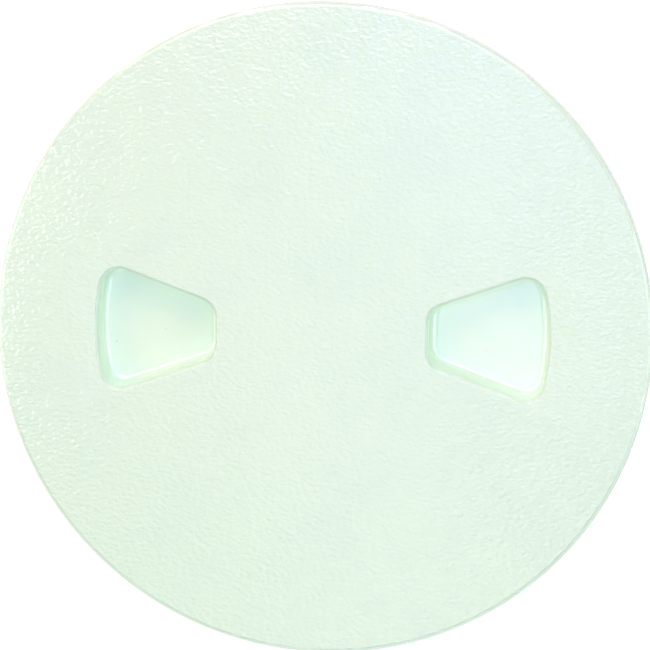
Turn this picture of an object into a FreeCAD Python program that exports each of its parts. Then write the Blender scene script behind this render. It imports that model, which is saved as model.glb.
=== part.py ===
import FreeCAD, Part
import math
import os
import Sketcher

# Deck inspection plate: a round screw-out cover for a hole in a boat's deck.
# Millimetres. The deck's surface is z = 0, +Z points up out of the deck, and the
# origin is the middle of the screw circle. Its three moulded pieces are the ring that
# is screwed to the deck, the lid that screws into the ring's coarse thread and hides
# its flange, and the rubber O-ring that seals the two.

doc = FreeCAD.newDocument("deck_inspection_plate")

SIZES = {
    # thread that the lid and the ring share
    "opening_width": (152.4, "clear opening inside the ring's thread"),
    "thread_pitch": (5.0, "rise of one turn"),
    "thread_height": (1.8, "how far a ridge stands out of its wall"),
    "thread_base": (3.0, "ridge width at its wall"),
    "thread_crest": (1.4, "ridge width at its top"),
    "thread_gap": (0.5, "clearance from a ridge's top to the wall it faces"),
    "flank_gap": (0.35, "upright clearance on the flank that takes the load"),
    "ring_turns": (2.0, "turns of ridge in the ring"),
    "lid_turns": (1.0, "turns of ridge on the lid"),
    # ring
    "neck_wall": (3.5, "wall of the neck behind the thread"),
    "neck_length": (20.0, "neck below the deck's surface"),
    "neck_chamfer": (1.2, "lead-in at the neck's lower edge"),
    "flange_width": (16.5, "flange outside the neck"),
    "flange_height": (4.0, "flange thickness"),
    "screw_count": (6, "countersunk holes in the flange"),
    "screw_hole": (4.8, "hole for a number 8 screw"),
    "screw_head": (9.5, "countersink across the top"),
    "countersink": (90.0, "countersink angle in degrees"),
    "screw_inset": (9.0, "screw circle inside the flange's edge"),
    "seat_lead": (0.8, "chamfer that guides the seal into its seat"),
    "thread_run_out": (0.8, "plain wall between the seat and the thread"),
    # seal
    "seal_section": (3.5, "side of the rubber's square section"),
    "seal_gap": (0.25, "room round the seal in its seat"),
    # lid
    "rim_gap": (1.0, "room between the flange's edge and the lid's rim"),
    "rim_wall": (2.6, "wall of the lid's rim"),
    "rim_lift": (0.8, "rim above the deck"),
    "face_thickness": (3.2, "the lid's top plate"),
    "face_gap": (0.8, "room between the flange and the lid's top plate"),
    "edge_bevel": (1.2, "bevel of the lid's outer edge"),
    "skirt_wall": (3.4, "wall behind the lid's thread"),
    "skirt_margin": (1.6, "skirt below its thread"),
    "skirt_chamfer": (1.0, "lead-in at the skirt's lower edge"),
    # finger pockets
    "pocket_count": (2, "pockets, evenly spaced round the lid"),
    "pocket_wall": (5.5, "wall between a pocket and the thread's root"),
    "pocket_length": (37.2, "pocket along the lid's radius"),
    "pocket_end": (16.7, "pocket across at its inner end"),
    "pocket_flare": (19.75, "angle of a pocket's sides to the radius"),
    "pocket_depth": (10.6, "floor below the lid's face"),
    "pocket_draft": (5.0, "draft of the pocket's walls"),
    "pocket_corner": (6.0, "corner radius seen from above"),
    "pocket_lip": (1.0, "bevel where the pocket meets the face"),
    "pocket_fillet": (2.6, "rounding where the walls meet the floor"),
    "tub_wall": (2.0, "moulded wall round and under a pocket"),
    # stiffening under the lid
    "rib_count": (12, "radial ribs, those in line with a pocket end at its tub"),
    "rib_width": (2.0, "rib thickness"),
    "rib_height": (6.0, "rib below the top plate"),
    "hub_radius": (14.0, "ring that the ribs start from"),
}

sheet = doc.addObject("Spreadsheet::Sheet", "Sizes")
for row, (alias, (number, meaning)) in enumerate(SIZES.items(), start=1):
    sheet.set(f"A{row}", meaning)
    sheet.set(f"B{row}", str(number))
    sheet.setAlias(f"B{row}", alias)
doc.recompute()


class Size:
    """A size worked out from the sheet: its formula as text and its value now."""

    def __init__(self, text, value):
        self.text = text
        self.value = float(value)

    def __add__(self, other):
        other = as_size(other)
        return Size(f"({self.text} + {other.text})", self.value + other.value)

    def __sub__(self, other):
        other = as_size(other)
        return Size(f"({self.text} - {other.text})", self.value - other.value)

    def __mul__(self, other):
        other = as_size(other)
        return Size(f"({self.text} * {other.text})", self.value * other.value)

    def __truediv__(self, other):
        other = as_size(other)
        return Size(f"({self.text} / {other.text})", self.value / other.value)

    def __neg__(self):
        return Size(f"(0 - {self.text})", -self.value)


def as_size(number):
    return number if isinstance(number, Size) else Size(repr(float(number)), number)


def size(alias):
    return Size(f"Sizes.{alias}", SIZES[alias][0])


def cosine(angle):
    return Size(f"cos({angle.text} * 1 deg)", math.cos(math.radians(angle.value)))


def tangent(angle):
    return Size(f"tan({angle.text} * 1 deg)", math.tan(math.radians(angle.value)))


def square_root(number):
    return Size(f"sqrt({number.text})", math.sqrt(number.value))


ZERO = as_size(0)
RIDGE_SUNK = 0.4  # how far a ridge's foot reaches into its wall, so that the two are one

# Heights and radii that more than one piece takes its place from.
face_under = size("flange_height") + size("face_gap")
face_top = face_under + size("face_thickness")
ring_crest = size("opening_width") / 2
ring_root = ring_crest + size("thread_height")
lid_root = ring_crest - size("thread_gap")
lid_crest = ring_root - size("thread_gap")
neck_outer = ring_root + size("neck_wall")
flange_outer = neck_outer + size("flange_width")
screw_radius = flange_outer - size("screw_inset")
seal_room = size("seal_section") + size("seal_gap") * 2
seat_outer = lid_root + seal_room
seat_floor = face_under - seal_room
rim_inner = flange_outer + size("rim_gap")
lid_outer = rim_inner + size("rim_wall")
face_outer = lid_outer - size("edge_bevel")
skirt_inner = lid_root - size("skirt_wall")

# Both ridges start at angle zero. At any angle the lid's ridge lies ridge_spacing below a
# turn of the ring's ridge, which leaves flank_gap between their flanks.
ring_thread_top = seat_floor - size("thread_run_out") - size("thread_base") / 2
ring_thread_bottom = ring_thread_top - size("thread_pitch") * size("ring_turns")
flank_slope = (size("thread_base") - size("thread_crest")) / size("thread_height")
ridge_overlap = size("thread_height") - size("thread_gap")
ridge_spacing = size("flank_gap") + size("thread_crest") + flank_slope * ridge_overlap / 2
lid_thread_bottom = ring_thread_bottom + size("thread_pitch") - ridge_spacing
skirt_bottom = lid_thread_bottom - size("thread_base") / 2 - size("skirt_margin")


def origin_part(body, role):
    return next(item for item in body.Origin.OriginFeatures if item.Role == role)


def new_body(label):
    body = doc.addObject("PartDesign::Body", label)
    body.Label = label
    return body


def new_sketch(body, name, plane, height=None):
    """An empty sketch on one of the body's own planes, raised to a height."""
    sketch = body.newObject("Sketcher::SketchObject", name)
    sketch.AttachmentSupport = (origin_part(body, plane), [""])
    sketch.MapMode = "FlatFace"
    if height is not None:
        sketch.setExpression("AttachmentOffset.Base.z", height.text)
    return sketch


def hold_point(sketch, index, end, x, y):
    """Fixes one end of a line or arc at two sizes from the sketch's origin."""
    for kind, length in (("DistanceX", x), ("DistanceY", y)):
        number = sketch.addConstraint(Sketcher.Constraint(kind, -1, 1, index, end, length.value))
        sketch.setExpression(f"Constraints[{number}]", length.text)


def draw_outline(sketch, corners):
    """A closed outline of straight lines through corners given as pairs of sizes."""
    points = [FreeCAD.Vector(x.value, y.value, 0) for x, y in corners]
    for start, stop in zip(points, points[1:] + points[:1]):
        sketch.addGeometry(Part.LineSegment(start, stop), False)
    for index in range(len(points)):
        following = (index + 1) % len(points)
        sketch.addConstraint(Sketcher.Constraint("Coincident", index, 2, following, 1))
    for index, (x, y) in enumerate(corners):
        hold_point(sketch, index, 1, x, y)


def revolve(body, name, corners):
    """A solid of revolution about Z from an outline in the XZ plane."""
    sketch = new_sketch(body, name + "_section", "XZ_Plane")
    draw_outline(sketch, corners)
    feature = body.newObject("PartDesign::Revolution", name)
    feature.Profile = sketch
    feature.ReferenceAxis = (origin_part(body, "Z_Axis"), [""])
    feature.Angle = 360
    doc.recompute()
    return feature


def wind_ridge(body, name, wall, crest, bottom, turns):
    """A trapezoidal thread ridge wound right-handed round Z, its foot sunk in the wall."""
    outward = 1 if crest.value > wall.value else -1
    foot = wall - as_size(RIDGE_SUNK * outward)
    foot_half = (size("thread_base") + flank_slope * RIDGE_SUNK) / 2
    crest_half = size("thread_crest") / 2
    sketch = new_sketch(body, name + "_section", "XZ_Plane")
    draw_outline(
        sketch,
        [
            (foot, bottom - foot_half),
            (crest, bottom - crest_half),
            (crest, bottom + crest_half),
            (foot, bottom + foot_half),
        ],
    )
    feature = body.newObject("PartDesign::AdditiveHelix", name)
    feature.Profile = sketch
    feature.ReferenceAxis = (origin_part(body, "Z_Axis"), [""])
    feature.Mode = "pitch-turns-angle"
    feature.setExpression("Pitch", size("thread_pitch").text)
    feature.setExpression("Turns", turns.text)
    feature.Angle = 0
    feature.LeftHanded = False
    doc.recompute()
    return feature


def taper_end(body, name, middle, corners):
    """Takes a ridge's end back to its wall along a flat, so that the threads find each other."""
    half = size("thread_base") / 2 + size("flank_gap")
    sketch = new_sketch(body, name + "_outline", "XY_Plane", middle + half)
    draw_outline(sketch, corners)
    feature = body.newObject("PartDesign::Pocket", name)
    feature.Profile = sketch
    feature.setExpression("Length", (half * 2).text)
    doc.recompute()
    return feature


def names_where(feature, kind, chosen):
    """Names of a feature's edges or faces, by kind Edge or Face, that a test picks out."""
    items = feature.Shape.Edges if kind == "Edge" else feature.Shape.Faces
    return [f"{kind}{number}" for number, item in enumerate(items, start=1) if chosen(item)]


def spans(item, low, high, room=0.01):
    """Whether an edge or a face reaches exactly from one height to another."""
    box = item.BoundBox
    return abs(box.ZMin - low) < room and abs(box.ZMax - high) < room


def goes_round(edge, radius, room=0.01):
    """Whether an edge is a circle of one radius."""
    return hasattr(edge.Curve, "Radius") and abs(edge.Curve.Radius - radius.value) < room


def trim_edges(body, kind, name, base, edges, length):
    """A fillet or a chamfer of one size along named edges."""
    feature = body.newObject(kind, name)
    feature.Base = (base, edges)
    feature.setExpression("Radius" if kind == "PartDesign::Fillet" else "Size", length.text)
    doc.recompute()
    return feature


def draft_walls(body, name, base, low, high, angle):
    """Leans the walls between two heights inwards, so that what is cut narrows downwards."""
    walls = names_where(base, "Face", lambda face: spans(face, low, high))
    level = names_where(base, "Face", lambda face: spans(face, high, high))
    feature = body.newObject("PartDesign::Draft", name)
    feature.NeutralPlane = (base, level[:1])
    feature.Reversed = True
    feature.setExpression("Angle", angle.text)
    doc.recompute()
    feature.Base = (base, walls)
    doc.recompute()
    return feature


def pattern_round(body, name, originals, count):
    """Copies of features evenly spaced round Z."""
    feature = body.newObject("PartDesign::PolarPattern", name)
    feature.Originals = originals
    feature.Axis = (origin_part(body, "Z_Axis"), [""])
    feature.Angle = 360
    feature.setExpression("Occurrences", count.text)
    body.Tip = feature
    doc.recompute()
    return feature


def make_ring():
    """The ring: a flange with countersunk holes on a neck with the inner thread."""
    body = new_body("deck_ring")
    neck_bottom = -size("neck_length")
    chamfer = size("neck_chamfer")
    lead = size("seat_lead")
    revolve(
        body,
        "ring_wall",
        [
            (ring_root, neck_bottom),
            (neck_outer - chamfer, neck_bottom),
            (neck_outer, neck_bottom + chamfer),
            (neck_outer, ZERO),
            (flange_outer, ZERO),
            (flange_outer, size("flange_height")),
            (seat_outer + lead, size("flange_height")),
            (seat_outer, size("flange_height") - lead),
            (seat_outer, seat_floor),
            (ring_root, seat_floor),
        ],
    )
    turns = size("ring_turns")
    wind_ridge(body, "ring_thread", ring_root, ring_crest, ring_thread_bottom, turns)
    # Seen from above, the ridge's last stretch ends at (ring_root, 0). The flat touches
    # the crest's circle where its run starts, and it meets the wall at that end.
    lean = ring_crest / ring_root
    across = -square_root(as_size(1) - lean * lean)
    start = (ring_crest * lean, ring_crest * across)
    inside = size("thread_height") * 2
    taper_end(
        body,
        "ring_thread_end",
        ring_thread_top,
        [
            start,
            (ring_root, ZERO),
            (ring_root - inside * lean, -(inside * across)),
            (start[0] - inside * lean, start[1] - inside * across),
        ],
    )

    centres = new_sketch(body, "screw_centre", "XY_Plane", size("flange_height"))
    centres.addGeometry(
        Part.Circle(FreeCAD.Vector(screw_radius.value, 0, 0), FreeCAD.Vector(0, 0, 1), 1), False
    )
    hold_point(centres, 0, 3, screw_radius, ZERO)
    number = centres.addConstraint(Sketcher.Constraint("Diameter", 0, size("screw_hole").value))
    centres.setExpression(f"Constraints[{number}]", size("screw_hole").text)
    doc.recompute()
    hole = body.newObject("PartDesign::Hole", "screw_hole")
    hole.Profile = centres
    hole.DepthType = "ThroughAll"
    hole.ThreadType = "None"
    hole.HoleCutType = "Countersink"
    hole.setExpression("Diameter", size("screw_hole").text)
    hole.setExpression("HoleCutDiameter", size("screw_head").text)
    hole.setExpression("HoleCutCountersinkAngle", size("countersink").text)
    doc.recompute()
    pattern_round(body, "screw_holes", [hole], size("screw_count"))
    return body


def make_seal():
    """The square-cut O-ring, lying in the seat between the ring and the lid."""
    body = new_body("o_ring")
    inner = lid_root + size("seal_gap")
    outer = inner + size("seal_section")
    bottom = seat_floor + size("seal_gap")
    top = bottom + size("seal_section")
    revolve(body, "seal", [(inner, bottom), (outer, bottom), (outer, top), (inner, top)])
    return body


def draw_pocket(sketch, inner, end_half, outer):
    """A finger pocket from above: a straight inner end, flared sides and an outer arc.

    A side's line passes through (inner, end_half) at the flare's slope, and it meets
    the arc of radius outer where x is far.
    """
    slope = tangent(size("pocket_flare"))
    start = end_half - inner * slope
    scale = slope * slope + 1
    far = (square_root(scale * outer * outer - start * start) - slope * start) / scale
    far_half = start + slope * far
    corners = [(inner, end_half), (inner, -end_half), (far, -far_half), (far, far_half)]
    points = [FreeCAD.Vector(x.value, y.value, 0) for x, y in corners]
    middle = FreeCAD.Vector(outer.value, 0, 0)
    sketch.addGeometry(Part.LineSegment(points[0], points[1]), False)
    sketch.addGeometry(Part.LineSegment(points[1], points[2]), False)
    sketch.addGeometry(Part.Arc(points[2], middle, points[3]), False)
    sketch.addGeometry(Part.LineSegment(points[3], points[0]), False)
    hold_point(sketch, 0, 1, *corners[0])
    hold_point(sketch, 1, 1, *corners[1])
    hold_point(sketch, 1, 2, *corners[2])
    hold_point(sketch, 3, 1, *corners[3])
    for side in range(4):
        following = (side + 1) % 4
        sketch.addConstraint(Sketcher.Constraint("Coincident", side, 2, following, 1))
    number = sketch.addConstraint(Sketcher.Constraint("Radius", 2, outer.value))
    sketch.setExpression(f"Constraints[{number}]", outer.text)


def make_lid():
    """The lid: face, rim, threaded skirt, ribs, and two finger pockets in moulded tubs."""
    body = new_body("lid")
    chamfer = size("skirt_chamfer")
    hub_outer = size("hub_radius") + size("rib_width")
    rib_bottom = face_under - size("rib_height")
    revolve(
        body,
        "lid_wall",
        [
            (ZERO, face_under),
            (size("hub_radius"), face_under),
            (size("hub_radius"), rib_bottom),
            (hub_outer, rib_bottom),
            (hub_outer, face_under),
            (skirt_inner, face_under),
            (skirt_inner, skirt_bottom),
            (lid_root - chamfer, skirt_bottom),
            (lid_root, skirt_bottom + chamfer),
            (lid_root, face_under),
            (rim_inner, face_under),
            (rim_inner, size("rim_lift")),
            (lid_outer, size("rim_lift")),
            (lid_outer, face_top - size("edge_bevel")),
            (face_outer, face_top),
            (ZERO, face_top),
        ],
    )
    turns = size("lid_turns")
    wind_ridge(body, "lid_thread", lid_root, lid_crest, lid_thread_bottom, turns)
    run = square_root(lid_crest * lid_crest - lid_root * lid_root) + size("thread_gap")
    outside = lid_crest + size("thread_gap")
    corners = [(lid_root, ZERO), (outside, ZERO), (outside, run), (lid_root, run)]
    taper_end(body, "lid_thread_end", lid_thread_bottom, corners)

    rib_sketch = new_sketch(body, "rib_outline", "XY_Plane", face_under)
    half = size("rib_width") / 2
    rib_end = skirt_inner + size("skirt_wall") / 2
    rib_start = hub_outer - half
    rib_corners = [(rib_start, -half), (rib_end, -half), (rib_end, half), (rib_start, half)]
    draw_outline(rib_sketch, rib_corners)
    rib = body.newObject("PartDesign::Pad", "rib")
    rib.Profile = rib_sketch
    rib.Reversed = True
    rib.setExpression("Length", size("rib_height").text)
    doc.recompute()
    pattern_round(body, "ribs", [rib], size("rib_count"))

    pocket_outer = lid_root - size("pocket_wall")
    pocket_inner = pocket_outer - size("pocket_length")
    end_half = size("pocket_end") / 2
    flare = size("pocket_flare")
    wall = size("tub_wall")
    tub_sketch = new_sketch(body, "tub_outline", "XY_Plane", face_top)
    tub_half = end_half + wall / cosine(flare) - wall * tangent(flare)
    draw_pocket(tub_sketch, pocket_inner - wall, tub_half, rib_end)
    tub = body.newObject("PartDesign::Pad", "tub")
    tub.Profile = tub_sketch
    tub.Reversed = True
    tub.setExpression("Length", (size("pocket_depth") + wall).text)
    tub.setExpression("TaperAngle", (-size("pocket_draft")).text)
    doc.recompute()
    pattern_round(body, "tubs", [tub], size("pocket_count"))

    pocket_sketch = new_sketch(body, "pocket_outline", "XY_Plane", face_top)
    draw_pocket(pocket_sketch, pocket_inner, end_half, pocket_outer)
    pocket = body.newObject("PartDesign::Pocket", "pocket")
    pocket.Profile = pocket_sketch
    pocket.setExpression("Length", size("pocket_depth").text)
    doc.recompute()
    pockets = pattern_round(body, "pockets", [pocket], size("pocket_count"))

    floor = (face_top - size("pocket_depth")).value
    top = face_top.value
    upright = names_where(pockets, "Edge", lambda edge: spans(edge, floor, top))
    fillet = "PartDesign::Fillet"
    cornered = trim_edges(body, fillet, "pocket_corners", pockets, upright, size("pocket_corner"))
    drafted = draft_walls(body, "pocket_walls", cornered, floor, top, size("pocket_draft"))
    foot = names_where(drafted, "Edge", lambda edge: spans(edge, floor, floor))
    floored = trim_edges(body, fillet, "pocket_floors", drafted, foot, size("pocket_fillet"))
    mouth = names_where(
        floored, "Edge", lambda edge: spans(edge, top, top) and not goes_round(edge, face_outer)
    )
    trim_edges(body, "PartDesign::Chamfer", "pocket_lips", floored, mouth, size("pocket_lip"))
    return body


pieces = [make_ring(), make_seal(), make_lid()]

for item in doc.Objects:
    if "Invalid" in item.State or "Error" in item.State:
        raise RuntimeError(f"{item.Label} did not build: {item.State}")
for piece in pieces:
    if piece.Shape.isNull() or not piece.Shape.isValid() or len(piece.Shape.Solids) != 1:
        raise RuntimeError(f"{piece.Label} is not one sound solid")

os.makedirs("parts", exist_ok=True)
for piece in pieces:
    piece.Shape.exportStep(f"parts/{piece.Label}.step")
    print(piece.Label, round(piece.Shape.Volume / 1000, 2), "cm3")
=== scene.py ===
# %% [markdown]
# A deck inspection plate closes a round hole in a boat's deck. A ring is screwed to the deck,
# and a lid screws into the ring on a coarse thread and squeezes a rubber seal. The packed
# model already holds all three pieces at their real size, and this script gives them their
# looks: smooth mouldings, plastic with a pebble grain, rubber, light and a camera.
#
# The imported pieces are loose flat triangles, coarse enough to show on a glossy plastic, so each
# one is moulded again here on the same drawing, with more facets and soft edges.

# %% Load the frame
import math

import bmesh
import bpy
from mathutils import Matrix, Vector


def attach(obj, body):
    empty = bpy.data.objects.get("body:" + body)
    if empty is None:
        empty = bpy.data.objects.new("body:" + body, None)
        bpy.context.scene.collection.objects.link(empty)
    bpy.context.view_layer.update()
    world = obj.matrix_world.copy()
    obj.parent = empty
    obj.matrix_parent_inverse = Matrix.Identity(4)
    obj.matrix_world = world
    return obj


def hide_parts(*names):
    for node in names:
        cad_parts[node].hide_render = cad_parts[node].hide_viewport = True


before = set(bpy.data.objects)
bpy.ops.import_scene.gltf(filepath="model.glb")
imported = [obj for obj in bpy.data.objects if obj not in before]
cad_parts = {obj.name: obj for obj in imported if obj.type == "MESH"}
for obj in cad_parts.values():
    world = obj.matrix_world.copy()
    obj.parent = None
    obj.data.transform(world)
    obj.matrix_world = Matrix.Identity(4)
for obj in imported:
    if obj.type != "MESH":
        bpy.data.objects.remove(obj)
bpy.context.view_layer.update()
MM = 0.001

# %% [markdown]
# The camera comes first, because every finish is judged through it. It stands nearly over the
# plate and looks at its middle through a long lens. It is placed the way a photographer would
# say it: how far away, from which side, how high, and how far the camera is tipped on its axis.

# %% Place the camera
CAMERA_TARGET = Vector((0.43, 1.54, 0)) * MM
CAMERA_DISTANCE = 807.97 * MM
CAMERA_AZIMUTH = math.radians(144.173)
CAMERA_ELEVATION = math.radians(77.876)
CAMERA_ROLL = math.radians(-143.110)
CAMERA_LENS = 144.0

camera = bpy.data.objects.new("camera", bpy.data.cameras.new("camera"))
bpy.context.scene.collection.objects.link(camera)
camera_back = Vector((
    math.sin(CAMERA_AZIMUTH) * math.cos(CAMERA_ELEVATION),
    -math.cos(CAMERA_AZIMUTH) * math.cos(CAMERA_ELEVATION),
    math.sin(CAMERA_ELEVATION),
))
facing = (-camera_back).to_track_quat("-Z", "Y").to_matrix() @ Matrix.Rotation(CAMERA_ROLL, 3, "Z")
stand = CAMERA_TARGET + camera_back * CAMERA_DISTANCE
camera.matrix_world = Matrix.Translation(stand) @ facing.to_4x4()
camera.data.lens = CAMERA_LENS
bpy.context.scene.camera = camera
print("camera at", [round(v, 3) for v in camera.matrix_world.translation])

# %% [markdown]
# Materials and procedural shapes are both graphs of nodes. Wiring them by hand takes a line for
# every link, and sums turn into long chains. Two small classes keep the recipes readable. A
# Wire is one output socket that can be added, multiplied and so on, and each sum adds the Math
# node that does it. A Sheet is the graph itself, with one method for every other kind of node.

# %% Wires that can be calculated with
class Wire:
    """One output socket of a node sheet, on which +, -, *, / and ** add Math nodes."""

    def __init__(self, sheet, socket):
        self.sheet = sheet
        self.socket = socket

    def math(self, operation, *values, clamp=False):
        settings = {"operation": operation, "use_clamp": clamp}
        return self.sheet.add("ShaderNodeMath", settings, dict(enumerate(values)))

    def __add__(self, other):
        return self.math("ADD", self, other)

    def __sub__(self, other):
        return self.math("SUBTRACT", self, other)

    def __rsub__(self, other):
        return self.math("SUBTRACT", other, self)

    def __mul__(self, other):
        return self.math("MULTIPLY", self, other)

    def __truediv__(self, other):
        return self.math("DIVIDE", self, other)

    def __pow__(self, other):
        return self.math("POWER", self, other)

    __radd__ = __add__

    def other(self, output):
        """Another output of the same node."""
        return Wire(self.sheet, self.socket.node.outputs[output])

    def ramp(self, low, high):
        """0 below low and 1 above high, with a soft S between them. High may be the lower one."""
        limits = {"Value": self, "From Min": low, "From Max": high}
        return self.sheet.add("ShaderNodeMapRange", {"interpolation_type": "SMOOTHSTEP"}, limits)


class Sheet:
    """A node tree that is being wired."""

    def __init__(self, tree):
        self.tree = tree

    def add(self, kind, settings=None, sockets=None, out=0):
        """Adds a node with its settings, then values or wires for its sockets."""
        node = self.tree.nodes.new(kind)
        for name, value in (settings or {}).items():
            if name == "captures":
                for number, type_name in enumerate(value):
                    node.capture_items.new(type_name, f"kept_{number}")
            else:
                setattr(node, name, value)
        for key, value in (sockets or {}).items():
            if isinstance(value, Wire):
                self.tree.links.new(value.socket, node.inputs[key])
            else:
                node.inputs[key].default_value = value
        return Wire(self, node.outputs[out]) if node.outputs else None

    def mix(self, factor, first, second):
        """A colour between two colours."""
        sockets = {0: factor, 6: first, 7: second}
        return self.add("ShaderNodeMix", {"data_type": "RGBA"}, sockets, out=2)


print("wires and sheets are ready")

# %% [markdown]
# A modifier with a Geometry Nodes tree is a small machine: geometry in, geometry out, with
# named dials. This helper builds the frame round one, and every tree ends in the same two
# nodes. Realize Instances turns light copies into real faces, and Set Material paints them.

# %% A helper that starts and ends a Geometry Nodes tree
def new_machine(name, dials, build):
    """A node group with named dials, inside which build(sheet, geometry, dials) is wired."""
    group = bpy.data.node_groups.new(name, "GeometryNodeTree")
    face = group.interface
    face.new_socket("Geometry", in_out="INPUT", socket_type="NodeSocketGeometry")
    for dial, kind in dials.items():
        face.new_socket(dial, in_out="INPUT", socket_type=f"NodeSocket{kind}")
    face.new_socket("Material", in_out="INPUT", socket_type="NodeSocketMaterial")
    face.new_socket("Geometry", in_out="OUTPUT", socket_type="NodeSocketGeometry")
    sheet = Sheet(group)
    start = group.nodes.new("NodeGroupInput")
    knobs = {dial: Wire(sheet, start.outputs[dial]) for dial in list(dials) + ["Material"]}
    made = build(sheet, Wire(sheet, start.outputs["Geometry"]), knobs)
    real = sheet.add("GeometryNodeRealizeInstances", None, {"Geometry": made})
    painted = {"Geometry": real, "Material": knobs["Material"]}
    end = sheet.add("GeometryNodeSetMaterial", None, painted)
    group.links.new(end.socket, group.nodes.new("NodeGroupOutput").inputs["Geometry"])
    return group


def run_machine(piece, group, **dials):
    """Sets the machine's dials, runs it and keeps the result as a plain mesh."""
    modifier = piece.modifiers.new(group.name, "NODES")
    modifier.node_group = group
    for item in group.interface.items_tree:
        if item.in_out == "INPUT" and item.name.replace(" ", "_") in dials:
            modifier[item.identifier] = dials[item.name.replace(" ", "_")]
    return settle(piece)


def settle(piece):
    """Turns what a piece's modifiers make into its plain mesh, and removes them."""
    bpy.context.view_layer.update()
    shaped = piece.evaluated_get(bpy.context.evaluated_depsgraph_get())
    before = piece.data
    piece.data = bpy.data.meshes.new_from_object(shaped)
    piece.modifiers.clear()
    bpy.data.meshes.remove(before)
    return piece


def new_piece(name, points, faces):
    """An object at the origin from points in millimetres and faces, its normals outwards."""
    mesh = bpy.data.meshes.new(name)
    mesh.from_pydata([[v * MM for v in point] for point in points], [], faces)
    shape = bmesh.new()
    shape.from_mesh(mesh)
    bmesh.ops.recalc_face_normals(shape, faces=shape.faces)
    shape.to_mesh(mesh)
    shape.free()
    piece = bpy.data.objects.new(name, mesh)
    bpy.context.scene.collection.objects.link(piece)
    return piece


print("machines are ready")

# %% [markdown]
# The same plastic moulds the lid and the ring. Its colour is a greenish white. On the lid's
# face the mould has a pebble grain, about 1 mm from crest to crest, which keeps feet from
# slipping. A grain that fine would need millions of faces and never shows in the outline, so it
# is a bump: soft noise with blobs of about its pitch, drawn out a little along X, the way the
# etch ran in the mould. The pockets and the rim come from polished parts of the mould, so the
# grain stops at their edges. A few specks of dirt sit in the pockets and on the face.

# %% Mould the plastic's colour and grain
PLASTIC = (0.770, 0.932, 0.795, 1)
PLASTIC_SHADE = (0.746, 0.910, 0.793, 1)
DIRT = (0.30, 0.36, 0.30, 1)
GRAIN_PITCH = 1.1 * MM
GRAIN_DRAW = (0.7, 1.0, 1.0)
GRAIN_DEPTH = 0.42 * MM
GRAIN_LIMIT = 100.9 * MM
GRAIN_FADE = 0.6 * MM
FACE_TOP = 8.0
GRAIN_RISE = (0.30, 0.02)
FACE_ROUGHNESS = 0.14
SMOOTH_ROUGHNESS = 0.13
ROUGHNESS_SPREAD = 0.04
PLASTIC_IOR = 1.49
LID_TONE = 18 * MM
LID_TONE_RANGE = (0.35, 0.75)
SPECK_EDGE = (1.3, 0.6)
SPECK_STRENGTH = 0.30


def new_finish(name, build):
    """A material whose Principled shader gets what build(sheet, place) gives for its sockets."""
    material = bpy.data.materials.new(name)
    material.use_nodes = True
    sheet = Sheet(material.node_tree)
    sheet.tree.nodes.clear()
    place = sheet.add("ShaderNodeTexCoord", out="Object")
    shader = sheet.add("ShaderNodeBsdfPrincipled", None, build(sheet, place))
    sheet.add("ShaderNodeOutputMaterial", None, {"Surface": shader})
    return material


def clouds(sheet, place, size, detail=2.0):
    """Soft noise from 0 to 1 whose blobs are about size across."""
    sockets = {"Vector": place, "Scale": 1 / size, "Detail": detail}
    return sheet.add("ShaderNodeTexNoise", None, sockets)


def pebbles(sheet, place):
    """Height of the pebble grain, from 0 in its hollows to 1 on its crests."""
    multiply = {"operation": "MULTIPLY"}
    drawn = sheet.add("ShaderNodeVectorMath", multiply, {0: place, 1: GRAIN_DRAW})
    return clouds(sheet, drawn, GRAIN_PITCH, detail=1.0)


def specks(sheet, place, marks):
    """1 inside each mark, a place and a radius in millimetres, and 0 elsewhere."""
    total = None
    for x, y, z, radius in marks:
        ends = {0: place, 1: (x * MM, y * MM, z * MM)}
        away = sheet.add("ShaderNodeVectorMath", {"operation": "DISTANCE"}, ends, out=1)
        spot = away.ramp(*(radius * share * MM for share in SPECK_EDGE))
        total = spot if total is None else total.math("MAXIMUM", total, spot)
    return total


SPECKS = (
    (-50.3, -1.6, -2.6, 0.22),
    (-66.0, -6.0, -2.6, 0.28),
    (50.6, -5.4, -2.6, 0.25),
    (61.9, -11.6, -2.6, 0.22),
    (53.7, -63.1, 8.0, 0.28),
    (34.1, -4.5, 8.0, 0.30),
)


def lid_sockets(sheet, place):
    axes = sheet.add("ShaderNodeSeparateXYZ", None, {"Vector": place})
    x, y, z = axes, axes.other(1), axes.other(2)
    radius = (x * x + y * y) ** 0.5
    on_face = z.ramp(*((FACE_TOP - under) * MM for under in GRAIN_RISE))
    grained = on_face * radius.ramp(GRAIN_LIMIT, GRAIN_LIMIT - GRAIN_FADE)
    height = pebbles(sheet, place) * grained
    tone = clouds(sheet, place, LID_TONE, detail=3.0)
    colour = sheet.mix(tone.ramp(*LID_TONE_RANGE), PLASTIC, PLASTIC_SHADE)
    colour = sheet.mix(specks(sheet, place, SPECKS) * SPECK_STRENGTH, colour, DIRT)
    gloss = SMOOTH_ROUGHNESS + grained * (FACE_ROUGHNESS - SMOOTH_ROUGHNESS)
    bump = {"Height": height, "Distance": GRAIN_DEPTH, "Strength": 1.0}
    return {
        "Base Color": colour,
        "Roughness": gloss + tone * ROUGHNESS_SPREAD,
        "IOR": PLASTIC_IOR,
        "Normal": sheet.add("ShaderNodeBump", None, bump),
    }


lid_plastic = new_finish("lid_plastic", lid_sockets)
print("lid plastic:", len(lid_plastic.node_tree.nodes), "nodes")

# %% [markdown]
# The ring is the same plastic without the grain. Seen close, a flat moulding is never quite
# flat: it sinks a little where it is thick, and the tool's marks stay on it. A wide, very
# shallow bump gives its highlights that slight waver.

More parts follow.
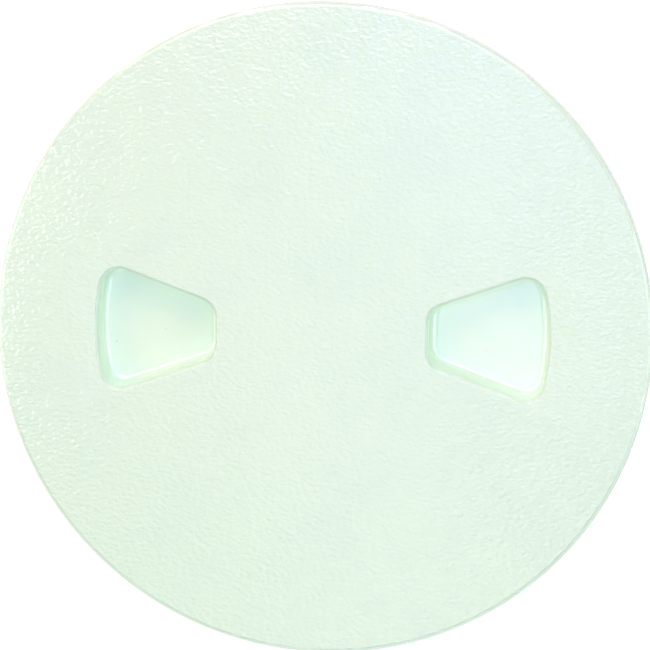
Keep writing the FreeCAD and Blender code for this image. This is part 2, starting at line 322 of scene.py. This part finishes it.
# %% Mould the ring's plastic
RING_PLASTIC = (0.775, 0.900, 0.790, 1)
RING_SHADE = (0.750, 0.880, 0.770, 1)
RING_ROUGHNESS = 0.22
RING_ROUGHNESS_SPREAD = 0.08
RING_TONE = 14 * MM
RING_TONE_RANGE = (0.3, 0.75)
WAVER_SIZE = 6 * MM
WAVER_DEPTH = 0.008 * MM


def ring_sockets(sheet, place):
    tone = clouds(sheet, place, RING_TONE, detail=3.0)
    waver = clouds(sheet, place, WAVER_SIZE)
    bump = {"Height": waver, "Distance": WAVER_DEPTH, "Strength": 1.0}
    return {
        "Base Color": sheet.mix(tone.ramp(*RING_TONE_RANGE), RING_PLASTIC, RING_SHADE),
        "Roughness": RING_ROUGHNESS + waver * RING_ROUGHNESS_SPREAD,
        "IOR": PLASTIC_IOR,
        "Normal": sheet.add("ShaderNodeBump", None, bump),
    }


ring_plastic = new_finish("ring_plastic", ring_sockets)
print("ring plastic:", len(ring_plastic.node_tree.nodes), "nodes")

# %% [markdown]
# The seal is cut from black rubber. Rubber is dull because its surface is rough at a scale far
# below a millimetre, and it picks up a pale bloom of dust and talc. Fine noise drives the bump
# and the roughness, and a larger cloud lightens the colour in patches.

# %% Mix the rubber
RUBBER = (0.022, 0.022, 0.024, 1)
RUBBER_BLOOM = (0.060, 0.060, 0.058, 1)
RUBBER_ROUGHNESS = 0.52
RUBBER_ROUGHNESS_SPREAD = 0.2
RUBBER_GRAIN = 0.4 * MM
RUBBER_GRAIN_DEPTH = 0.03 * MM
BLOOM_SIZE = 9 * MM
BLOOM_RANGE = (0.45, 0.8)


def rubber_sockets(sheet, place):
    fine = clouds(sheet, place, RUBBER_GRAIN)
    bloom = clouds(sheet, place, BLOOM_SIZE, detail=4.0)
    bump = {"Height": fine, "Distance": RUBBER_GRAIN_DEPTH, "Strength": 1.0}
    return {
        "Base Color": sheet.mix(bloom.ramp(*BLOOM_RANGE), RUBBER, RUBBER_BLOOM),
        "Roughness": RUBBER_ROUGHNESS + fine * RUBBER_ROUGHNESS_SPREAD,
        "Normal": sheet.add("ShaderNodeBump", None, bump),
    }


seal_rubber = new_finish("seal_rubber", rubber_sockets)
print("seal rubber:", len(seal_rubber.node_tree.nodes), "nodes")

# %% [markdown]
# Most of this part is turned: a section swept once round the axis. The sections below list
# their corners as radius, height and the radius that eases the corner. Real mouldings have no
# knife edges, and the easing is what catches a thin line of light along each of them.

# %% Helpers that skin rings of points and turn a section
SIDES = 288
WIDE_EASING = 1.0
WIDE_EASING_STEPS = 10
SMALL_EASING_STEPS = 3


def skin(name, rows, closed):
    """A shape through rows of points: a loop of rows if closed, and else capped at its ends."""
    width = len(rows[0])
    points = [point for row in rows for point in row]
    faces = []
    for row in range(len(rows) if closed else len(rows) - 1):
        first, second = row * width, (row + 1) % len(rows) * width
        for side in range(width):
            following = (side + 1) % width
            faces.append((first + side, first + following, second + following, second + side))
    if not closed:
        faces.append(tuple(range(width)))
        faces.append(tuple(range(len(points) - width, len(points))))
    return new_piece(name, points, faces)


def ease(corners):
    """The section's points, with an arc at each corner whose easing radius isn't zero."""
    points = []
    for index, (radius, height, easing) in enumerate(corners):
        here = Vector((radius, height))
        if not easing:
            points.append(here)
            continue
        back = (Vector(corners[index - 1][:2]) - here).normalized()
        onward = (Vector(corners[(index + 1) % len(corners)][:2]) - here).normalized()
        half = back.angle(onward) / 2
        middle = here + (back + onward).normalized() * easing / math.sin(half)
        start = here + back * easing / math.tan(half) - middle
        stop = here + onward * easing / math.tan(half) - middle
        spread = math.pi - 2 * half
        steps = WIDE_EASING_STEPS if easing > WIDE_EASING else SMALL_EASING_STEPS
        for step in range(steps + 1):
            part = spread * step / steps
            spoke = start * math.sin(spread - part) + stop * math.sin(part)
            points.append(middle + spoke / math.sin(spread))
    return points


def turn(name, corners, closed=True, sides=SIDES, centre=0.0):
    """A section turned round an upright axis through (centre, 0)."""
    steps = [math.tau * side / sides for side in range(sides)]
    rows = [
        [(centre + radius * math.cos(step), radius * math.sin(step), height) for step in steps]
        for radius, height in ease(corners)
    ]
    return skin(name, rows, closed)


print("a full turn has", SIDES, "sides")

# %% [markdown]
# Solids are joined and cut with boolean modifiers. Their exact solver keeps a closed shape
# closed. Afterwards the level faces are shaded flat and the rest smooth, with a sharp edge
# wherever two faces meet at more than 30 degrees, so flats stay flat beside soft edges.

# %% Helpers that join, cut and finish solids
SHARP = math.radians(30)
LEVEL = 0.9999
WELD = 0.001 * MM


def combine(piece, tool, operation):
    """Joins a tool to a piece, or cuts it from the piece, and removes the tool."""
    modifier = piece.modifiers.new("combine", "BOOLEAN")
    modifier.operation = operation
    modifier.solver = "EXACT"
    modifier.object = tool
    settle(piece)
    mesh = tool.data
    bpy.data.objects.remove(tool)
    bpy.data.meshes.remove(mesh)


def finish_piece(piece, material, node, body):
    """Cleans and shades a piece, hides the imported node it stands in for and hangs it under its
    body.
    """
    mesh = piece.data
    shape = bmesh.new()
    shape.from_mesh(mesh)
    bmesh.ops.remove_doubles(shape, verts=shape.verts, dist=WELD)
    bmesh.ops.recalc_face_normals(shape, faces=shape.faces)
    open_edges = sum(not edge.is_manifold for edge in shape.edges)
    for face in shape.faces:
        face.material_index = 0
        face.smooth = abs(face.normal.z) < LEVEL
    shape.to_mesh(mesh)
    shape.free()
    mesh.set_sharp_from_angle(angle=SHARP)
    mesh.materials.clear()
    mesh.materials.append(material)
    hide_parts(node)
    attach(piece, body)
    mesh.calc_loop_triangles()
    print(piece.name, len(mesh.loop_triangles), "triangles,", open_edges, "open edges")


print("edges sharper than", math.degrees(SHARP), "degrees stay sharp")

# %% [markdown]
# Ribs, pockets, screw holes and the marks of the mould's ejector pins all repeat round the
# axis. One small machine sets copies of whatever it is given in a ring: points at the axis,
# one instance on each, and each turned a step further.

# %% The machine that sets copies in a ring
def ring_of_copies(sheet, shape, dial):
    points = sheet.add("GeometryNodePoints", None, {"Count": dial["Count"]})
    angle = sheet.add("GeometryNodeInputIndex") * dial["Spacing"] + dial["Start"]
    angles = sheet.add("ShaderNodeCombineXYZ", None, {"Z": angle})
    copies = {"Points": points, "Instance": shape, "Rotation": angles}
    return sheet.add("GeometryNodeInstanceOnPoints", None, copies)


ring_machine = new_machine(
    "set_in_a_ring", {"Count": "Int", "Spacing": "Float", "Start": "Float"}, ring_of_copies
)


def set_in_ring(piece, count, spacing=None, start=0.0):
    """Copies a piece round the axis, evenly unless a spacing in degrees is given."""
    spacing = spacing or 360 / count
    dials = {"Count": count, "Spacing": math.radians(spacing), "Start": math.radians(start)}
    return run_machine(piece, ring_machine, Material=lid_plastic, **dials)


print("inputs:", [item.name for item in ring_machine.interface.items_tree])

# %% [markdown]
# The lid and the ring grip each other by a coarse thread, a single ridge of trapezoid section
# wound round the wall. A Screw modifier can wind one, but not let it fade into the wall where
# it ends, as the real one does so that the threads find each other. So the ridge starts as a
# straight bar along Z, and a formula bends it: how far along the bar a point is gives its angle
# and its rise, and its place in the section gives its distance from the wall. At the fading end
# the height follows a parabola, as it does where a flat cutter runs out of a round wall.

# %% The machine that winds a ridge
RIDGE_SUNK = 0.4
RIDGE_GRAZE = 0.05


def wound_ridge(sheet, _, dial):
    bar = sheet.add("GeometryNodeCurvePrimitiveLine", None, {"Start": (0, 0, 0), "End": (0, 0, 1)})
    even = {"Curve": bar, "Count": dial["Steps"]}
    bar = sheet.add("GeometryNodeResampleCurve", {"mode": "COUNT"}, even)
    keep = {0: bar, 1: sheet.add("GeometryNodeSplineParameter")}
    bar = sheet.add("GeometryNodeCaptureAttribute", {"captures": ["FLOAT"]}, keep)
    depth = dial["Height"] + dial["Sunk"]
    sizes = {"Bottom Width": dial["Base"], "Top Width": dial["Crest"]}
    sizes.update({"Height": depth, "Offset": 0.0})
    section = sheet.add("GeometryNodeCurvePrimitiveQuadrilateral", {"mode": "TRAPEZOID"}, sizes)
    rounded = {"Curve": section, "Count": 3, "Radius": dial["Easing"]}
    section = sheet.add("GeometryNodeFilletCurve", {"mode": "POLY"}, rounded)
    keep = {0: section, 1: sheet.add("GeometryNodeInputPosition")}
    section = sheet.add("GeometryNodeCaptureAttribute", {"captures": ["VECTOR"]}, keep)
    sweep = {"Curve": bar, "Profile Curve": section, "Fill Caps": True}
    solid = sheet.add("GeometryNodeCurveToMesh", None, sweep)

    angle = bar.other(1) * dial["Angle"]
    place = sheet.add("ShaderNodeSeparateXYZ", None, {"Vector": section.other(1)})
    upright = place
    outward = place.other(1) + depth / 2 - dial["Sunk"]
    to_end = dial["Fade From Top"] * (dial["Angle"] - angle * 2) + angle
    fade = to_end.math("DIVIDE", to_end, dial["Fade"], clamp=True)
    squared = fade * fade
    inner_law = (fade - squared) * 2 * dial["Inward"]
    limit = (squared + inner_law) * dial["Height"] - (1 - fade) * dial["Graze"]
    held = outward.math("MINIMUM", outward, limit)
    flank = (dial["Base"] - dial["Crest"]) / depth / 2
    side = upright.math("SIGN", upright)
    upright = upright + side * (outward - held) * flank
    radius = dial["Wall"] + held * (1 - dial["Inward"] * 2)
    x = radius * angle.math("COSINE", angle)
    y = radius * angle.math("SINE", angle)
    z = dial["Bottom"] + angle * dial["Rise"] + upright
    bent = sheet.add("ShaderNodeCombineXYZ", None, {"X": x, "Y": y, "Z": z})
    return sheet.add("GeometryNodeSetPosition", None, {"Geometry": solid, "Position": bent})


RIDGE_DIALS = (
    "Height", "Sunk", "Graze", "Base", "Crest", "Easing", "Angle", "Rise", "Wall", "Bottom",
    "Fade", "Fade From Top", "Inward",
)
ridge_machine = new_machine(
    "wound_ridge", {"Steps": "Int", **{dial: "Float" for dial in RIDGE_DIALS}}, wound_ridge
)
print("inputs:", [item.name for item in ridge_machine.interface.items_tree])

# %% [markdown]
# The lid's and the ring's ridges share the thread's sizes. They differ in where they start, how
# far they go, which way they stand out of their walls, and at which end they fade.

# %% Wind a ridge to the thread's sizes
PITCH = 5.0
RIDGE_HEIGHT = 1.8
RIDGE_BASE = 3.0
RIDGE_CREST = 1.4
RIDGE_EASING = 0.22


def new_ridge(name, wall, bottom, turns, fade, from_top, inward):
    """A ridge on a wall, in millimetres, that fades over an angle in degrees at one end."""
    foot = RIDGE_BASE + (RIDGE_BASE - RIDGE_CREST) * RIDGE_SUNK / RIDGE_HEIGHT
    angle = turns * math.tau
    return run_machine(
        new_piece(name, [], []),
        ridge_machine,
        Material=lid_plastic,
        Steps=int(turns * SIDES) + 1,
        Height=RIDGE_HEIGHT * MM,
        Sunk=RIDGE_SUNK * MM,
        Graze=RIDGE_GRAZE * MM,
        Base=foot * MM,
        Crest=RIDGE_CREST * MM,
        Easing=RIDGE_EASING * MM,
        Angle=angle,
        Rise=PITCH * MM / math.tau,
        Wall=wall * MM,
        Bottom=bottom * MM,
        Fade=math.radians(fade),
        Fade_From_Top=float(from_top),
        Inward=float(inward),
    )


print("the thread rises", PITCH, "mm a turn")

# %% [markdown]
# The ring: a flange that is screwed down over the deck's edge, and a neck that goes through the
# deck, with the thread on its inside. It is one turned section with a ridge joined to it and
# six countersunk holes cut out of the flange.

# %% Mould the ring
RING_ROOT = 78.0
NECK_OUTER = 81.5
NECK_BOTTOM = -20.0
NECK_TIP = 80.3
TAPER_TOP = -18.8
FLANGE_OUTER = 98.0
FLANGE_TOP = 4.0
SEAT_MOUTH = 80.5
SEAT_OUTER = 79.7
SEAT_TOP = 3.2
SEAT_FLOOR = 0.8
SCREW_COUNT = 6
SCREW_CIRCLE = 89.0
SCREW_HOLE = 2.4
SCREW_HEAD = 4.75
SINK_BOTTOM = 1.65
HOLE_SIDES = 48
RING_RIDGE = {"wall": RING_ROOT, "bottom": -11.5, "turns": 2.0, "fade": 12.3}

ring = turn(
    "ring_moulding",
    [
        (RING_ROOT, NECK_BOTTOM, 0.3),
        (NECK_TIP, NECK_BOTTOM, 0.3),
        (NECK_OUTER, TAPER_TOP, 0.5),
        (NECK_OUTER, 0.0, 0.3),
        (FLANGE_OUTER, 0.0, 0.2),
        (FLANGE_OUTER, FLANGE_TOP, 0.5),
        (SEAT_MOUTH, FLANGE_TOP, 0.15),
        (SEAT_OUTER, SEAT_TOP, 0.15),
        (SEAT_OUTER, SEAT_FLOOR, 0.15),
        (RING_ROOT, SEAT_FLOOR, 0.25),
    ],
)
combine(ring, new_ridge("ring_ridge", from_top=True, inward=True, **RING_RIDGE), "UNION")

hole_section = [
    (SCREW_HOLE, -1.0, 0),
    (SCREW_HOLE, SINK_BOTTOM, 0),
    (SCREW_HEAD, FLANGE_TOP, 0),
    (SCREW_HEAD + 1.0, FLANGE_TOP + 1.0, 0),
]
hole = turn("screw_hole", hole_section, closed=False, sides=HOLE_SIDES, centre=SCREW_CIRCLE)
combine(ring, set_in_ring(hole, SCREW_COUNT), "DIFFERENCE")
finish_piece(ring, ring_plastic, "deck_ring", "ring")

# %% [markdown]
# The seal is a square-cut ring of rubber, lying between the ring's seat and the lid's shoulder.

# %% Cut the seal
SEAL_INNER = 75.95
SEAL_OUTER = 79.45
SEAL_BOTTOM = 1.05
SEAL_TOP = 4.55
SEAL_EASING = 0.3

seal_section = [
    (SEAL_INNER, SEAL_BOTTOM, SEAL_EASING),
    (SEAL_OUTER, SEAL_BOTTOM, SEAL_EASING),
    (SEAL_OUTER, SEAL_TOP, SEAL_EASING),
    (SEAL_INNER, SEAL_TOP, SEAL_EASING),
]
seal = turn("seal_band", seal_section)
finish_piece(seal, seal_rubber, "o_ring", "seal")

# %% [markdown]
# A finger pocket is a drafted hollow: straight at its inner end, flared along its sides and an
# arc at its outer end, with round corners. Its walls lean in by 1 degree so that it leaves the
# mould. Going down the wall, each level is the same outline moved inwards a little, and its
# corners keep their centres while their radius shrinks. So one function gives the outline for
# any inset, and a section of insets and heights is skinned through them. The tub under the
# pocket is made in the same way, a wall's thickness outside it.

# %% The outline and the section of a pocket
POCKET_INNER = 33.0
POCKET_OUTER = 70.2
POCKET_END_HALF = 8.35
POCKET_CORNER = 6.0
POCKET_FLARE = math.radians(19.75)
POCKET_DRAFT = math.radians(1.0)
CORNER_STEPS = 14
SIDE_STEPS = 8
END_STEPS = 10
FILLET_STEPS = 10


def bow(centre, radius, start, stop, steps):
    """Points on an arc, in radians, from start to stop."""
    angles = [start + (stop - start) * step / steps for step in range(steps + 1)]
    return [(centre[0] + radius * math.cos(a), centre[1] + radius * math.sin(a)) for a in angles]


def pocket_outline(inset, outer=POCKET_OUTER, far_corner=POCKET_CORNER):
    """The pocket's outline moved inwards by inset, seen from above."""
    slope = math.tan(POCKET_FLARE)
    side_turn = math.pi / 2 + POCKET_FLARE

    def line_start(gap):
        return POCKET_END_HALF - POCKET_INNER * slope - gap / math.cos(POCKET_FLARE)

    near_x = POCKET_INNER + POCKET_CORNER
    near = (near_x, line_start(POCKET_CORNER) + slope * near_x)
    begin, scale, reach = line_start(far_corner), 1 + slope * slope, outer - far_corner
    far_x = (math.sqrt(scale * reach * reach - begin * begin) - slope * begin) / scale
    far = (far_x, begin + slope * far_x)
    swing = math.atan2(far[1], far[0])
    inner_corner = bow(near, POCKET_CORNER - inset, math.pi, side_turn, CORNER_STEPS)
    outer_corner = bow(far, far_corner - inset, side_turn, swing, CORNER_STEPS)
    start, stop = Vector(inner_corner[-1]), Vector(outer_corner[0])
    side = [tuple(start.lerp(stop, step / SIDE_STEPS)) for step in range(1, SIDE_STEPS)]
    end = bow((0, 0), outer - inset, swing, 0.0, END_STEPS)[1:]
    half = [(POCKET_INNER + inset, 0.0)] + inner_corner + side + outer_corner + end
    return half + [(x, -y) for x, y in reversed(half[1:-1])]


def hollow(name, section, **outline):
    """A solid through the pocket's outline at each (inset, height) of a section."""
    rows = [
        [(x, y, height) for x, y in pocket_outline(inset, **outline)] for inset, height in section
    ]
    return skin(name, rows, closed=False)


def wall_and_floor(offset, floor, rounding):
    """Section points from the wall round into the floor, offset outside the pocket's own wall."""
    height = floor + rounding
    lean = (FACE_TOP - height) * math.sin(POCKET_DRAFT)
    middle = (rounding + lean) / math.cos(POCKET_DRAFT) - offset
    return bow((middle, height), rounding, math.pi + POCKET_DRAFT, 1.5 * math.pi, FILLET_STEPS)


print("a pocket is", POCKET_OUTER - POCKET_INNER, "mm long")

# %% [markdown]
# The lid starts as a turned section too: the face with its eased rim, the skirt that carries
# the thread, and a small hub. Twelve ribs and the ridge are joined to it.

# %% Turn the lid and join its ribs and ridge
LID_ROOT = 75.7
LID_OUTER = 101.6
PLATE_BOTTOM = 4.8
HUB_INNER = 14.0
HUB_WALL = 2.0
RIB_BOTTOM = -1.2
RIB_END = 74.0
SKIRT_INNER = 72.3
SKIRT_BOTTOM = -11.93
SKIRT_TAPER = 1.0
RIM_INNER = 99.0
RIM_BOTTOM = 0.8
RIM_EASING = 0.8

lid = turn(
    "lid_moulding",
    [
        (HUB_INNER - 1.0, PLATE_BOTTOM, 0),
        (HUB_INNER, PLATE_BOTTOM, 0.4),
        (HUB_INNER, RIB_BOTTOM, 0.3),
        (HUB_INNER + HUB_WALL, RIB_BOTTOM, 0.3),
        (HUB_INNER + HUB_WALL, PLATE_BOTTOM, 0.4),
        (SKIRT_INNER, PLATE_BOTTOM, 0.6),
        (SKIRT_INNER, SKIRT_BOTTOM, 0.4),
        (LID_ROOT - SKIRT_TAPER, SKIRT_BOTTOM, 0.2),
        (LID_ROOT, SKIRT_BOTTOM + SKIRT_TAPER, 0.3),
        (LID_ROOT, PLATE_BOTTOM, 0.2),
        (RIM_INNER, PLATE_BOTTOM, 0.5),
        (RIM_INNER, RIM_BOTTOM, 0.3),
        (LID_OUTER, RIM_BOTTOM, 0.4),
        (LID_OUTER, FACE_TOP, RIM_EASING),
        (HUB_INNER, FACE_TOP, 0),
    ],
    closed=False,
)

RIB_COUNT = 12
RIB_SPAN = (HUB_INNER + HUB_WALL / 2, RIB_END)
RIB_SECTION = (
    (-1.6, 5.2), (-1.6, 4.8), (-1.2, 4.6), (-1.0, 4.2), (-0.92, -0.85), (-0.8, -1.1),
    (0.8, -1.1), (0.92, -0.85), (1.0, 4.2), (1.2, 4.6), (1.6, 4.8), (1.6, 5.2),
)
rib = skin("rib", [[(x, y, z) for y, z in RIB_SECTION] for x in RIB_SPAN], closed=False)
combine(lid, set_in_ring(rib, RIB_COUNT), "UNION")
LID_RIDGE = {"wall": LID_ROOT, "bottom": -8.83, "turns": 1.0, "fade": 12.4}
combine(lid, new_ridge("lid_ridge", from_top=False, inward=False, **LID_RIDGE), "UNION")
print("lid so far:", len(lid.data.polygons), "faces")

# %% [markdown]
# A pocket's lip is eased where it meets the face, so its cutter flares out at the top, and its
# floor has a wide fillet. The tub outside it keeps a wall of 2 mm and runs into the skirt. The
# faint round marks of the mould's ejector pins come last, four on each side.

# %% Join the tubs and cut the pockets
POCKET_COUNT = 2
POCKET_FLOOR = -2.6
FLOOR_FILLET = 2.4
LIP_EASING = 1.2
TUB_WALL = 2.0
TUB_ROUNDING = 3.5
TUB_TOP = 5.4
TUB_REACH = 3.0
TUB_CORNER = 3.0
PIN_CIRCLE = 60.0
PIN_RADIUS = 3.0
PIN_DEPTH = 0.12
PIN_COUNT = 4
PIN_SPACING = 30
PIN_START = 45

tub_top = ((FACE_TOP - TUB_TOP) * math.tan(POCKET_DRAFT) - TUB_WALL, TUB_TOP)
tub_section = [tub_top] + wall_and_floor(TUB_WALL, POCKET_FLOOR - TUB_WALL, TUB_ROUNDING)
tub = hollow("tub", tub_section, outer=POCKET_OUTER + TUB_REACH, far_corner=TUB_CORNER)
combine(lid, set_in_ring(tub, POCKET_COUNT), "UNION")

lip_middle = -LIP_EASING * (1 - math.sin(POCKET_DRAFT)) / math.cos(POCKET_DRAFT)
lip_centre = (lip_middle, FACE_TOP - LIP_EASING)
lip = bow(lip_centre, LIP_EASING, math.pi / 2, POCKET_DRAFT, FILLET_STEPS)
pocket_section = [(lip_middle, FACE_TOP + 1.0)] + lip
pocket_section += wall_and_floor(0.0, POCKET_FLOOR, FLOOR_FILLET)
pocket = hollow("pocket", pocket_section)
combine(lid, set_in_ring(pocket, POCKET_COUNT), "DIFFERENCE")

pin_section = [(PIN_RADIUS, PLATE_BOTTOM - 1.0, 0), (PIN_RADIUS, PLATE_BOTTOM + PIN_DEPTH, 0)]
pin = turn("ejector_mark", pin_section, closed=False, sides=HOLE_SIDES, centre=PIN_CIRCLE)
four_pins = set_in_ring(pin, PIN_COUNT, spacing=PIN_SPACING, start=PIN_START)
combine(lid, set_in_ring(four_pins, 2), "DIFFERENCE")
finish_piece(lid, lid_plastic, "lid", "lid")

# %% [markdown]
# The plate lies on a plain white floor. To the camera a lit floor is pure white, as a
# photographer's table is. The object must not be lit by that trick, so the extra glow is only
# there for rays that come straight from the camera or off something shiny, and the floor's own
# colour still darkens where the plate shades it. From underneath the floor is clear, so the
# plate can be looked at from below as well. It lies a hair under the neck, because two faces at
# the same height would show through each other.

# %% Lay the floor
FLOOR_GAP = 0.05
FLOOR_LEVEL = NECK_BOTTOM - FLOOR_GAP
FLOOR_REACH = 2500.0
FLOOR_COLOUR = (0.80, 0.80, 0.80, 1)
FLOOR_GLOW = 0.45


def seen_directly(sheet):
    """1 for rays from the camera, off gloss or through glass, and 0 for light on the object."""
    rays = sheet.add("ShaderNodeLightPath", out="Is Camera Ray")
    node = rays.socket.node
    glossy = Wire(sheet, node.outputs["Is Glossy Ray"])
    through = Wire(sheet, node.outputs["Is Transmission Ray"])
    return rays.math("MAXIMUM", rays.math("MAXIMUM", rays, glossy), through)


quarters = ((-1, -1), (1, -1), (1, 1), (-1, 1))
corners = [(x * FLOOR_REACH, y * FLOOR_REACH, FLOOR_LEVEL) for x, y in quarters]
floor = new_piece("floor", corners, [(0, 1, 2, 3)])
floor_finish = bpy.data.materials.new("floor")
floor_finish.use_nodes = True
sheet = Sheet(floor_finish.node_tree)
sheet.tree.nodes.clear()
body = sheet.add("ShaderNodeBsdfDiffuse", None, {"Color": FLOOR_COLOUR})
glow = sheet.add("ShaderNodeEmission", None, {"Strength": seen_directly(sheet) * FLOOR_GLOW})
both = sheet.add("ShaderNodeAddShader", None, {0: body, 1: glow})
from_below = sheet.add("ShaderNodeNewGeometry", out="Backfacing")
clear = sheet.add("ShaderNodeBsdfTransparent")
one_way = sheet.add("ShaderNodeMixShader", None, {0: from_below, 1: both, 2: clear})
sheet.add("ShaderNodeOutputMaterial", None, {"Surface": one_way})
floor.data.materials.append(floor_finish)
print("floor at", FLOOR_LEVEL, "mm")

# %% [markdown]
# The light is that of a room by day. A dim sky all round keeps every side readable. Pale walls
# light the plate from each side, the north side the most, which gives the pockets their
# shadows. Windows and panels overhead are there for their reflections: the glare on the grain
# near the top and the shine on the floor of the right pocket. Five boards show up only in
# reflections, and draw the bright line along the foot of the pockets' walls. The Standard view
# shows a colour as it is written, without a film curve over it.

# %% Light it
SKY_COLOUR = (0.30, 0.30, 0.30, 1)
LAMP_HEIGHT = 1000
OVERHEAD_LAMPS = (
    ("glare", (-28, -40), (70, 100), (4.40, 4.80, 9.50)),
    ("panel", (-5, -210), (120, 190), (4.01, 2.93, 4.75)),
    ("window_right", (200, 150), (280, 300), (2.60, 3.20, 6.80)),
    ("window_back", (60, 420), (400, 240), (0.30, 1.30, 4.00)),
    ("over_left", (-260, -60), (200, 300), (1.43, 0.88, 0.64)),
    ("over_front", (0, -480), (400, 200), (2.80, 3.00, 1.50)),
)
WALL_SIZE = (1176, 1072)
WALLS = (
    ("wall_east", (1618, 0, 1176), (1.29, 1.37, 0.80)),
    ("wall_north_east", (1144, 1144, 1176), (0.63, 0.78, 0.00)),
    ("wall_north", (0, 1618, 1176), (2.85, 1.90, 2.48)),
    ("wall_north_west", (-1144, 1144, 1176), (2.20, 1.33, 0.17)),
    ("wall_west", (-1618, 0, 1176), (1.25, 1.56, 0.94)),
    ("wall_south", (0, -1618, 1176), (1.85, 1.95, 1.98)),
)
BOARD_SIZE = (800, 1150)
BOARDS = (
    ("board_east", (1008, -142, 636), (4.8, 4.8, 5.4)),
    ("board_north_east", (410, 1128, 640), (5.6, 5.6, 6.0)),
    ("board_north", (-145, 1029, 600), (3.8, 3.8, 4.2)),
    ("board_north_west", (-670, 995, 560), (4.4, 4.4, 4.8)),
    ("board_west", (-1096, 0, 488), (4.8, 4.8, 5.4)),
)

bpy.context.scene.view_settings.view_transform = "Standard"
world = bpy.data.worlds.new("sky")
bpy.context.scene.world = world
world.use_nodes = True
sheet = Sheet(world.node_tree)
sheet.tree.nodes.clear()
white = sheet.mix(seen_directly(sheet), SKY_COLOUR, (1, 1, 1, 1))
sky = sheet.add("ShaderNodeBackground", None, {"Color": white, "Strength": 1.0})
sheet.add("ShaderNodeOutputWorld", None, {"Surface": sky})


def new_lamp(name, position, size, light, target=(0, 0, 0), only_glints=False):
    """A lamp aimed at a target, in millimetres. Light is the brightness of its face."""
    lamp = bpy.data.lights.new(name, "AREA")
    lamp.shape = "RECTANGLE"
    lamp.size, lamp.size_y = (length * MM for length in size)
    lamp.color = [value / max(light) for value in light]
    lamp.energy = math.pi * lamp.size * lamp.size_y * max(light)
    holder = bpy.data.objects.new(name, lamp)
    bpy.context.scene.collection.objects.link(holder)
    aim = Vector(target) - Vector(position)
    facing = aim.to_track_quat("-Z", "Y").to_matrix().to_4x4()
    holder.matrix_world = Matrix.Translation(Vector(position) * MM) @ facing
    holder.visible_diffuse = not only_glints


for name, above, size, light in OVERHEAD_LAMPS:
    new_lamp(name, (*above, LAMP_HEIGHT), size, light, target=(*above, 0))
for name, position, light in WALLS:
    new_lamp(name, position, WALL_SIZE, light)
for name, position, light in BOARDS:
    new_lamp(name, position, BOARD_SIZE, light, only_glints=True)
print("lamps:", [item.name for item in bpy.data.lights])

# %% [markdown]
